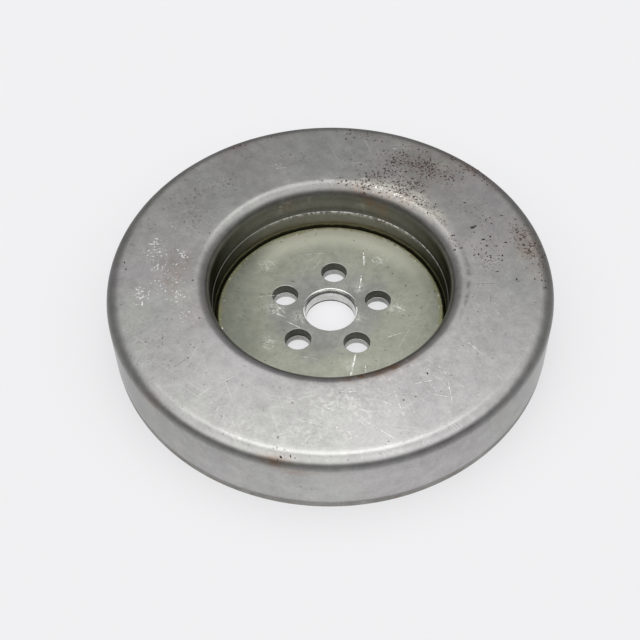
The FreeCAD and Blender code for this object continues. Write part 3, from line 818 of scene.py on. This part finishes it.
# %% Base plate and bore
def base_steel(tree):
    """The base plate: faced on a lathe, rubbed bright where it sat on the gear, and rusting in from the rim."""
    place = place_on(tree)
    reach = reach_of(place)
    grain = use(tree, GRAIN, Scale=1.1)
    uneven = wander(place, 45.0, 0.02, 4.0, 0.6)
    tool_marks = ring_marks(tree, 320.0)
    contact = fade(reach + uneven * 0.08, 0.0385, 0.0375)
    rust = use(tree, FLECKS, Cover=fade(reach + uneven, 0.076, 0.102, 0.08, 0.6), Scale=620.0, Shift=0.5)
    rough = fade(contact, 0.0, 1.0, 0.34, 0.22) + grain["Tone"] * 0.14
    return {
        "Base Color": coats(
            toned(grain, (0.34, 0.335, 0.32), (0.5, 0.49, 0.47)),
            (fade(tool_marks, 0.42, 0.62, 0.0, 0.4), (0.6, 0.595, 0.58)),
            (contact * fade(noise(place, 150.0, 4.0, 0.7), 0.3, 0.55, 0.35, 0.8), (0.72, 0.71, 0.69)),
            (rust["Halo"] * 0.45, (0.27, 0.185, 0.14)),
            (rust["Mask"], (0.1, 0.06, 0.045)),
            (grain["Hairlines"] * 0.5, (0.78, 0.78, 0.76))),
        "Metallic": fade(rust["Mask"], 0.0, 1.0, 1.0, 0.2),
        "Roughness": most(rough, rust["Mask"] * 0.85),
        "Normal": relief(ring_marks(tree, 1400.0) + tool_marks + rust["Mask"], 0.00006, 0.7)}


def bore_steel(tree):
    """The machined bore: a bright chamfer above, a duller wall below it, and a painted shadow at its foot."""
    place = place_on(tree)
    grain = use(tree, GRAIN, Scale=1.6)
    uneven = parts(place)[2] + noise(place, 300.0) * 0.0006
    step = fade(uneven, 0.006, 0.0063) * fade(uneven, 0.0068, 0.0065)
    # Painted shadow: dark at the foot of the bore.
    foot = fade(uneven, 0.0013, 0.0009)
    return {
        "Base Color": coats(
            toned(grain, (0.34, 0.34, 0.33), (0.52, 0.52, 0.5)),
            (fade(uneven, 0.0069, 0.0072), (0.78, 0.78, 0.76)),
            (most(step * 0.45, foot), (0.03, 0.03, 0.03))),
        "Metallic": 1.0,
        "Roughness": fade(uneven, 0.0069, 0.0072, 0.26, 0.1) + foot * 0.4,
        "Normal": relief(ring_marks(tree, 1400.0), 0.00005, 0.5)}


finish("base_steel", base_steel)
finish("bore_steel", bore_steel)


# %% Turned metal and moulded plastic
def turned_metal(tree, dark, light, roughness, ring_depth, rust, metallic, hairs):
    """Dull or bright metal with rings from turning and a little rust."""
    grain = use(tree, GRAIN, Scale=1.1)
    specks = use(tree, FLECKS, Cover=rust, Scale=700.0, Shift=0.5)
    rings = ring_marks(tree, 1400.0)
    return {
        "Base Color": coats(
            toned(grain, dark, light),
            (specks["Halo"] * 0.4, (0.28, 0.17, 0.11)),
            (specks["Mask"], (0.12, 0.06, 0.04)),
            (grain["Hairlines"] * hairs, (0.75, 0.75, 0.73))),
        "Metallic": fade(specks["Mask"], 0.0, 1.0, metallic, 0.2),
        "Roughness": roughness + grain["Tone"] * 0.15,
        "Normal": relief(rings * ring_depth + (grain["Grain"] * 0.4 + specks["Mask"]), 0.00006, 0.7)}


def pad_plastic(tree):
    """Natural moulded plastic, a little yellow, with the faint flow marks of its mould."""
    flow = noise(arrow("MULTIPLY", place_on(tree), (90.0, 90.0, 400.0)), 1.0, 3.0)
    specks = use(tree, FLECKS, Cover=0.2, Scale=900.0, Shift=0.6)["Mask"]
    return {
        "Base Color": coats(blend(fade(flow, 0.3, 0.7), (0.72, 0.68, 0.56), (0.82, 0.79, 0.69)),
                            (specks * 0.6, (0.3, 0.27, 0.2))),
        "Roughness": fade(flow, 0.3, 0.7, 0.42, 0.55),
        "Normal": relief(flow + specks, 0.00004, 0.5)}


for name, *numbers in (  # dark, light, roughness, depth of the rings, rust, metallic, hairlines
        # The punched walls are dark partly as painted shade inside the holes.
        ("punched_steel", (0.045, 0.045, 0.036), (0.12, 0.12, 0.1), 0.5, 0.3, 0.03, 1.0, 0.03),
        ("edge_steel", (0.19, 0.19, 0.18), (0.4, 0.4, 0.38), 0.42, 0.3, 0.1, 1.0, 0.05),
        ("seam_steel", (0.16, 0.16, 0.15), (0.3, 0.3, 0.285), 0.45, 0.5, 0.3, 1.0, 0.1),
        ("plug_steel", (0.42, 0.42, 0.41), (0.58, 0.58, 0.56), 0.22, 1.5, 0.1, 1.0, 0.4),
        ("ring_iron", (0.2, 0.2, 0.2), (0.34, 0.335, 0.33), 0.18, 1.4, 0.1, 0.9, 0.4)):
    finish(name, turned_metal, *numbers)
finish("pad_plastic", pad_plastic)


# %% [markdown]
# ## Walls with a finish of their own
# In each plate the walls of the holes have another finish than the flat faces: punched walls are dull and dark,
# the darkness partly painted shade inside the holes, and the centre bore is machined bright. The faces are picked
# by where they stand, and get a material slot.
# %% Finishes on the shells
HOLES = [(BOLT_CIRCLE * math.cos(BOLT_TURN + math.tau * i / BOLT_COUNT),
          BOLT_CIRCLE * math.sin(BOLT_TURN + math.tau * i / BOLT_COUNT)) for i in range(BOLT_COUNT)]
BORE_REACH, RIM_REACH, HOLE_MARGIN = 13.2, 98, 0.35
NEARLY_LEVEL, UPWARD = 0.9, 0.3


def wear(piece, *names):
    """Gives the piece these finishes as its material slots."""
    piece.data.materials.clear()
    for name in names:
        piece.data.materials.append(FINISHES[name])


def dress_walls(piece, hole_radius):
    """Slot 1 for the bolt holes' walls, 2 for the bore, 3 for the holes' rubbed upper edges, 4 for the rim."""
    picked = 0
    for face in piece.data.polygons:
        x, y = face.center.x / MM, face.center.y / MM
        if abs(face.normal.z) > NEARLY_LEVEL:
            continue
        if math.hypot(x, y) < BORE_REACH:
            face.material_index = 2
        elif math.hypot(x, y) > RIM_REACH:
            face.material_index = 4
        elif min(math.hypot(x - hole[0], y - hole[1]) for hole in HOLES) < hole_radius + HOLE_MARGIN:
            face.material_index = 3 if face.normal.z > UPWARD else 1
        picked += face.material_index > 0
    print(piece.name, "has", picked, "wall faces")


wear(casing, "casing_steel")
wear(hub, "hub_steel", "punched_steel", "bore_steel", "plug_steel")
wear(base, "base_steel", "edge_steel", "bore_steel", "plug_steel", "seam_steel")
dress_walls(hub, HUB_BOLT_HOLE)
dress_walls(base, BASE_BOLT_HOLE)

# %% [markdown]
# ## Marks laid on the surface
# Single scratches and rust blisters are too fine for a mask on the points. So each is given as it was found, by
# its two ends or its place in mm, and Geometry Nodes lay it on the steel: a curve gets a thin flat profile for a
# scratch, and a flat few-faced grain stands on each blister's spot and, by chance, where the rust mask is strong.
# %% Tree that lays scratches on a surface
DROP_FROM, DROP_LENGTH = 0.005, 0.02
SCRATCH_LIFT, SCRATCH_THICKNESS = 0.000004, 0.000008


def laid_on(tree, geometry, surface, lift):
    """Moves points straight down onto a surface, and a hair's breadth above it."""
    target = get(tree, "GeometryNodeObjectInfo", {"Object": surface}, "Geometry")
    above = arrow("ADD", get(tree, "GeometryNodeInputPosition"), (0, 0, DROP_FROM))
    ray = outputs_of(put(tree, "GeometryNodeRaycast", {
        "Target Geometry": target, "Source Position": above, "Ray Direction": (0, 0, -1), "Ray Length": DROP_LENGTH}))
    return moved(geometry, Selection=ray["Is Hit"], Position=arrow("ADD", ray["Hit Position"], (0, 0, lift)))


def named(tree, name):
    return get(tree, "GeometryNodeInputNamedAttribute", {"Name": name}, data_type="FLOAT")


def make_scratch_tree():
    tree, given, result = new_group("GeometryNodeTree", "laid_scratches", (
        ("Paths", "Geometry", None), ("Surface", "Object", None), ("Finish", "Material", None),
    ), (("Piece", "Geometry"),))
    curves = get(tree, "GeometryNodeMeshToCurve", {0: given["Paths"]})
    upright = get(tree, "GeometryNodeSetCurveNormal", {0: curves}, mode="Z_UP")
    profile = get(tree, "GeometryNodeCurvePrimitiveLine", {"Start": (-0.5, 0, 0), "End": (0.5, 0, 0)})
    ribbon = get(tree, "GeometryNodeCurveToMesh", {
        "Curve": upright, "Profile Curve": profile, "Scale": named(tree, "width")})
    laid = laid_on(tree, ribbon, given["Surface"], SCRATCH_LIFT)
    facing = parts(get(tree, "GeometryNodeInputNormal"))[2]
    turned = get(tree, "GeometryNodeFlipFaces", {0: laid, 1: facing < 0.0})
    top = get(tree, "GeometryNodeExtrudeMesh", {
        0: turned, "Offset Scale": SCRATCH_THICKNESS, "Individual": False})
    closed = welded(joined(top, get(tree, "GeometryNodeFlipFaces", {0: turned})), 1e-6)
    finish_tree(result[0], closed, given["Finish"])
    return tree


scratch_tree = make_scratch_tree()
print("laid_scratches:", len(scratch_tree.nodes), "nodes")


# %% Scratches
def scratch_paths(name, lines, height, seed, gaps=0.12):
    """Lines of short edges that sway a little, thin out at their ends and break here and there."""
    chance = random.Random(seed)
    points, edges, widths = [], [], []
    for x1, y1, x2, y2, width in lines:
        length = math.hypot(x2 - x1, y2 - y1)
        steps, sway = max(5, round(length / 0.8)), 0.0
        for step in range(steps + 1):
            share = step / steps
            sway = 0.85 * sway + chance.uniform(-0.05, 0.05)
            points.append(((x1 + (x2 - x1) * share - (y2 - y1) / length * sway) * MM,
                           (y1 + (y2 - y1) * share + (x2 - x1) / length * sway) * MM, height * MM))
            widths.append(width * MM * chance.uniform(0.55, 1.0) * max(0.12, math.sin(math.pi * share)) ** 0.5)
            if step and chance.random() > gaps:
                edges.append((len(points) - 2, len(points) - 1))
    mesh = bpy.data.meshes.new(name)
    mesh.from_pydata(points, edges, [])
    mesh.attributes.new("width", "FLOAT", "POINT").data.foreach_set("value", widths)
    return mesh


FLAT_FROM, FLAT_TO = 63, 90  # radii of the flat top, in mm


def fan(seed, count, near, spread, lengths, turn, widths):
    """Light scratches round one place that all lean about the same way, as from one knock or one slide."""
    chance = random.Random(seed)
    lines = []
    for number in range(count):
        x, y = near[0] + chance.gauss(0, spread), near[1] + chance.gauss(0, spread * 0.6)
        angle, length = math.radians(chance.gauss(turn, 22)), chance.uniform(*lengths)
        if FLAT_FROM < math.hypot(x, y) < FLAT_TO:
            lines.append((x, y, x + length * math.cos(angle), y + length * math.sin(angle), chance.uniform(*widths)))
    return lines


SCRATCHES = [  # the two ends and the width, in mm
    (11.4, -77.4, 26.1, -89, 0.34), (34, -61.3, 42.9, -59.1, 0.34), (43, -48.8, 51.3, -61.5, 0.26),
    (57.1, -38.1, 64.2, -46.4, 0.36), (48.4, -58.9, 49.4, -70.7, 0.3), (11.2, -73.8, 15.7, -74.6, 0.4),
    (-12.5, -91.3, -6.8, -83.7, 0.32), (-38.4, -86.7, -33.4, -87.7, 0.42), (2, -64.9, 11.6, -64.6, 0.34),
    (15.1, 60, 18.9, 59.5, 0.55), (31.7, 80.5, 33.6, 80, 0.5), (29, -44.8, 34.5, -52.2, 0.26),
    (37.4, -54.3, 44.4, -49.2, 0.26), (5.5, -82.5, 8.3, -86.8, 0.3), (-3.7, -71.6, 2.8, -75.1, 0.4),
    (18.1, -68.4, 24.9, -71.5, 0.26), (-12.6, -78.8, -5.3, -80.9, 0.26), (-26.1, 67.5, -20.3, 68.1, 0.4),
    (-55.2, -66, -50, -62, 0.26), (10.8, 70.7, 16.3, 71.1, 0.3), (24, -57, 30, -80, 0.2), (40, -66, 56, -70, 0.2),
    (60, -28, 72, -36, 0.18), (-20, -70, -6, -66, 0.2)
]
FANS, FIRST_SEED = (  # how many, where, how far strewn, lengths, direction and widths
    (26, (44, -56), 13, (3, 11), -52, (0.08, 0.18)), (24, (6, -72), 11, (2, 8), -20, (0.1, 0.22)),
    (14, (-30, -74), 12, (2, 7), 20, (0.1, 0.2)), (12, (70, -20), 8, (2, 7), -60, (0.1, 0.18))), 11
for seed, numbers in enumerate(FANS, FIRST_SEED):
    SCRATCHES += fan(seed, *numbers)
DARK_LINES = (
    (65, -7.2, 73.5, -6.9, 0.4), (-55.7, 36, -55.9, 31.6, 0.4), (76.5, 27, 77.5, 18, 0.22), (24.5, 84, 26, 74, 0.18),
    (70, -20, 70.5, -12, 0.2), (-66, -51.5, -60, -46, 0.22))
HUB_SCRATCHES = (
    (16.2, 35, 16.6, 27.3, 1.1), (16.6, 30.5, 16.3, 26.6, 1.2), (14.9, 20.4, 14.2, 15, 0.9), (14, 14, 13.2, 10.5, 1),
    (11, -26.5, 9.6, -34, 1.1), (9.8, -33, 8.5, -39.2, 1.3), (15.3, -32.5, 15.5, -36.5, 0.5), (-25, 3, -21, -2, 0.4),
    (-27, -1, -20, -5, 0.4), (-20, -7, -12, -12, 0.3), (30, 1.5, 34.5, -1.5, 0.5), (20, 30.5, 21, 28.5, 0.4),
    (-14, -27, -6, -29, 0.25), (-34, 8, -22, 9, 0.18), (-12, 34, -2, 35, 0.18), (22, -18, 34, -14, 0.18),
    (-8, 24.5, -3, 33, 0.16), (30, -24, 36, -12, 0.16))


def scraped_metal(tree, dark, light, metallic, roughness):
    """The inside of a scratch: bare metal, or dirt, that changes along its length."""
    place = place_on(tree)
    patchy = noise(place, 800.0, 3.0, 0.6)
    return {
        "Base Color": blend(fade(patchy, 0.36, 0.62), dark, light),
        "Metallic": metallic,
        "Roughness": fade(patchy, 0.3, 0.7, roughness, roughness + 0.15),
        "Normal": relief(noise(place, 3000.0), 0.00002, 0.5)}


finish("scraped_steel", scraped_metal, (0.4, 0.39, 0.38), (0.78, 0.77, 0.74), 0.75, 0.34)
finish("rubbed_bright", scraped_metal, (0.5, 0.5, 0.46), (0.92, 0.92, 0.88), 0.15, 0.5)
finish("dark_dirt", scraped_metal, (0.11, 0.105, 0.1), (0.26, 0.25, 0.24), 0.3, 0.6)


def lay_scratches(name, lines, height, surface, coat, seed):
    return grow(name, scratch_tree, {"Surface": surface, "Finish": FINISHES[coat]},
                scratch_paths(name + "_paths", lines, height, seed))


casing_scratches = lay_scratches("casing_scratches", SCRATCHES, TOP, casing, "scraped_steel", 3)
casing_dark_lines = lay_scratches("casing_dark_lines", DARK_LINES, TOP, casing, "dark_dirt", 5)
hub_scratches = lay_scratches("hub_scratches", HUB_SCRATCHES, HUB_TOP, hub, "rubbed_bright", 7)


# %% Tree for rust blisters
def chosen(tree, low, high, seed):
    """A random number between these two, another one for each point."""
    return get(tree, "FunctionNodeRandomValue", {2: low, 3: high, 8: seed}, 1, data_type="FLOAT")


def grains(tree, points, lie, size):
    """A flat grain on each point, turned by chance. Its height and its shorter side follow from its size."""
    spin = get(tree, "FunctionNodeEulerToRotation", {0: vector(z=chosen(tree, 0.0, math.tau, 5))})
    spun = get(tree, "FunctionNodeRotateRotation", {"Rotation": lie, "Rotate By": spin}, rotation_space="LOCAL")
    return get(tree, "GeometryNodeInstanceOnPoints", {
        "Points": points, "Instance": get(tree, "GeometryNodeMeshIcoSphere", {"Radius": 1.0, "Subdivisions": 1}),
        "Rotation": spun, "Scale": vector(size, size * chosen(tree, 0.3, 0.75, 6), size * 0.3)})


def make_blister_tree():
    tree, given, result = new_group("GeometryNodeTree", "rust_blisters", (
        ("Spots", "Geometry", None), ("Surface", "Object", None), ("Density", "Float", 60000.0),
        ("Smallest", "Float", 0.0001), ("Largest", "Float", 0.0003), ("Seed", "Int", 1),
        ("Finish", "Material", None),
    ), (("Piece", "Geometry"),))
    rust = named(tree, "rust")
    strewn = outputs_of(put(tree, "GeometryNodeDistributePointsOnFaces", {
        "Mesh": get(tree, "GeometryNodeObjectInfo", {"Object": given["Surface"]}, "Geometry"),
        "Selection": rust > 0.12, "Density": given["Density"] * calc("POWER", rust, 1.6), "Seed": given["Seed"]}))
    single = get(tree, "GeometryNodeMeshToPoints", {0: laid_on(tree, given["Spots"], given["Surface"], 0.0)})
    level = get(tree, "FunctionNodeEulerToRotation", {0: (0, 0, 0)})
    size = chosen(tree, given["Smallest"], given["Largest"], given["Seed"])
    both = joined(grains(tree, strewn["Points"], strewn["Rotation"], size),
                  grains(tree, single, level, named(tree, "size")))
    real = get(tree, "GeometryNodeRealizeInstances", {0: both})
    ragged = get(tree, "ShaderNodeTexNoise", {"Scale": 2600.0, "Detail": 1.0}, "Color")
    shift = arrow("MULTIPLY", arrow("SUBTRACT", ragged, (0.5, 0.5, 0.5)), (0.0004, 0.0004, 0.00006))
    finish_tree(result[0], moved(real, Offset=shift), given["Finish"], sharp=3.0)
    return tree


blister_tree = make_blister_tree()
print("rust_blisters:", len(blister_tree.nodes), "nodes")


# %% Rust blisters
def crumbly_rust(tree, black, brown):
    """Crumbly rust: not metal, rough, and between these two colours."""
    place = place_on(tree)
    mottled = noise(place, 700.0, 4.0, 0.7)
    lighter = tuple(0.6 * dark + 0.4 * light for dark, light in zip(black, brown))
    patches = blend(fade(noise(place, 60.0), 0.42, 0.58), black, lighter)
    return {
        "Base Color": blend(fade(mottled, 0.48, 0.7), patches, brown),
        "Roughness": fade(mottled, 0.3, 0.7, 0.8, 0.95),
        "Metallic": 0.1,
        "Normal": relief(noise(place, 4000.0), 0.00008, 0.8)}


finish("rust_crust", crumbly_rust, (0.034, 0.029, 0.028), (0.12, 0.078, 0.068))
finish("pit_black", crumbly_rust, (0.012, 0.012, 0.012), (0.06, 0.045, 0.04))

PITS = (  # x, y and size in mm
    (65.8, 27.1, 1.6), (67.2, 27.9, 1.1), (70.2, 19.5, 1.3), (77.9, 9.6, 0.9), (74.7, 0, 1), (82.7, -4.8, 1.05),
    (83.5, -5.8, 0.6), (57.2, 16, 0.8), (67.2, 10.4, 0.8), (83, 23.7, 0.7), (28, 72.1, 0.75), (29.2, 70.9, 0.4),
    (95, -9.5, 0.8), (34.6, -67.6, 0.6), (40.2, -55.9, 0.8), (68, -48.5, 0.5), (64, -23, 0.5), (-92.5, 8, 0.8),
    (-91.5, 4, 0.7), (75.5, 27.5, 0.4), (79, 15, 0.5), (62.5, -14.5, 0.5), (-61, -3, 0.8), (-55.2, 25.5, 0.6),
    (-90.5, 19, 0.4), (-33.5, 77, 0.4), (-47, 60, 0.4), (-72, -34, 0.4), (31, 76.5, 0.5), (88, 2, 0.5))
PIT_SCALE = 0.8
spots_mesh = bpy.data.meshes.new("pit_spots")
spots_mesh.from_pydata([(x * MM, y * MM, TOP * MM) for x, y, size in PITS], [], [])
sizes = [PIT_SCALE * size * MM for x, y, size in PITS]
spots_mesh.attributes.new("size", "FLOAT", "POINT").data.foreach_set("value", sizes)
pits = grow("black_pits", blister_tree, {
    "Surface": casing, "Density": 0.0, "Seed": 8, "Finish": FINISHES["pit_black"]}, spots_mesh)
blisters = grow("rust_blisters", blister_tree, {
    "Surface": casing, "Density": 620000.0, "Smallest": 0.18 * MM, "Largest": 0.8 * MM, "Seed": 8,
    "Finish": FINISHES["rust_crust"]})

# %% [markdown]
# ## Fill plugs
# The chamber is filled with fluid through two holes in the base plate, and a steel plug is pressed into each.
# The plug is a turned piece as well, with a chamfered foot and the dimple of the punch that staked it.
# %% Fill plugs
PLUG_FACE, PLUG_RADIUS, PLUG_CIRCLE = 0.4, 4.0, 77.0
DIMPLE, CHAMFER = 1.3, 0.4
plug_section = [(0.0, PLUG_FACE + 0.45), (0.7, PLUG_FACE + 0.4), (DIMPLE, PLUG_FACE)] + run(
    (DIMPLE, PLUG_FACE), (PLUG_RADIUS - CHAMFER, PLUG_FACE), 4) + [
    (PLUG_RADIUS - CHAMFER, PLUG_FACE), (PLUG_RADIUS, PLUG_FACE + CHAMFER), (PLUG_RADIUS, BASE), (0.0, BASE)]
plugs = []
for number, side in ((1, 1), (2, -1)):
    plug = grow("plug_%d" % number, turned_tree, {"Segments": 64, "Finish": FINISHES["plug_steel"]},
                section_mesh("plug_section_%d" % number, plug_section))
    plug.data.transform(Matrix.Translation((side * PLUG_CIRCLE * MM, 0, 0)))
    plugs.append(plug)

# %% [markdown]
# ## Inside pieces
# The ring and its eighteen pads can't be seen from outside, but anyone who opens the damper finds them. Their
# solids come from the CAD model as they are, and only get a finish: wet turned iron, and moulded plastic.
# %% Finishes of the inside pieces
inside = {name: "ring_iron" if name == "inertia_ring" else "pad_plastic"
          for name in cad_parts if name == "inertia_ring" or "_pad_" in name}
for name, coat in inside.items():
    wear(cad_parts[name], coat)
print("inside pieces:", len(inside))

# %% Hand-over
for piece, node, slot in (
        (casing, "casing", "casing_steel"), (base, "base_plate", "base_steel"), (hub, "hub_disc", "hub_steel"),
        (plugs[0], "fill_plug_1", "plug_steel"), (plugs[1], "fill_plug_2", "plug_steel"),
        (casing_scratches, None, "casing_steel"), (casing_dark_lines, None, "casing_steel"),
        (blisters, None, "casing_steel"), (pits, None, "casing_steel"), (hub_scratches, None, "hub_steel")):
    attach(piece, "housing")
    if node:
        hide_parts(node)
